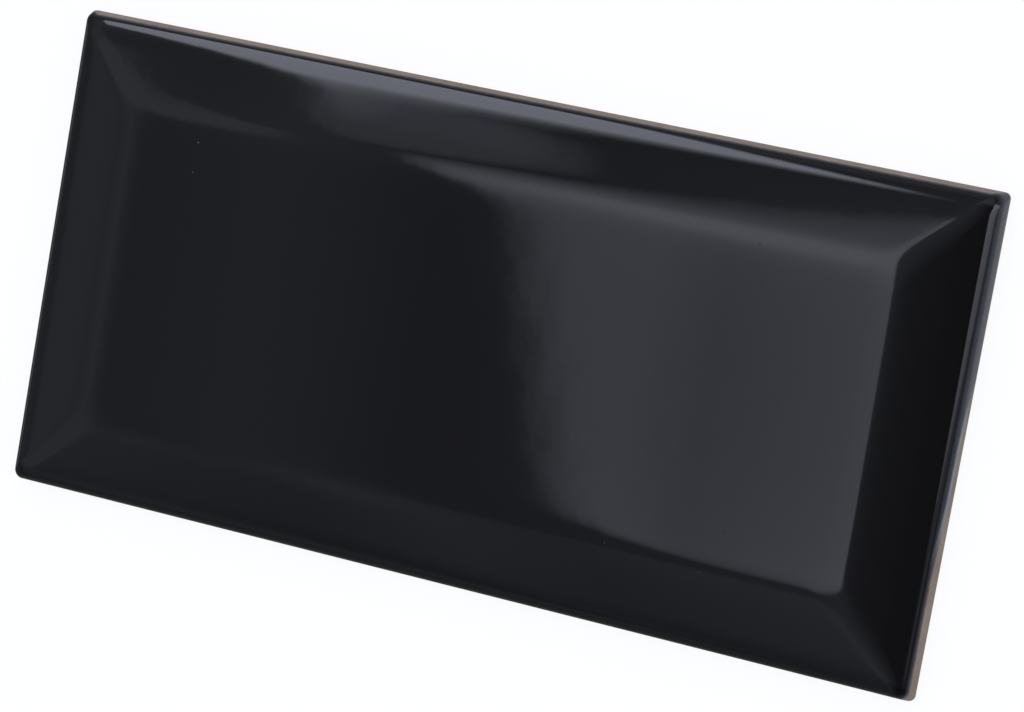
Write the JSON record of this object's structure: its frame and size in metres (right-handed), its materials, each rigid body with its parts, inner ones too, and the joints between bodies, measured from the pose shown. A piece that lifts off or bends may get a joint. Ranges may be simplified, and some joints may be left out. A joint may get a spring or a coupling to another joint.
{
  "type": "subway wall tile",
  "caption": "Bevelled ceramic wall tile, twice as long as it is wide, with a black gloss glaze, a flat raised panel and a keyed biscuit back",
  "frame": {"origin": "middle of the bedding face, under the middle of the tile", "axes": "+X along the tile's length, +Y across its width, +Z out of the glazed face"},
  "size_m": [0.2, 0.1, 0.0078],
  "materials": {
    "glazed_tile": "gloss"
  },
  "bodies": {
    "root": {"wall_tile": "glazed_tile"}
  },
  "joints": []
}
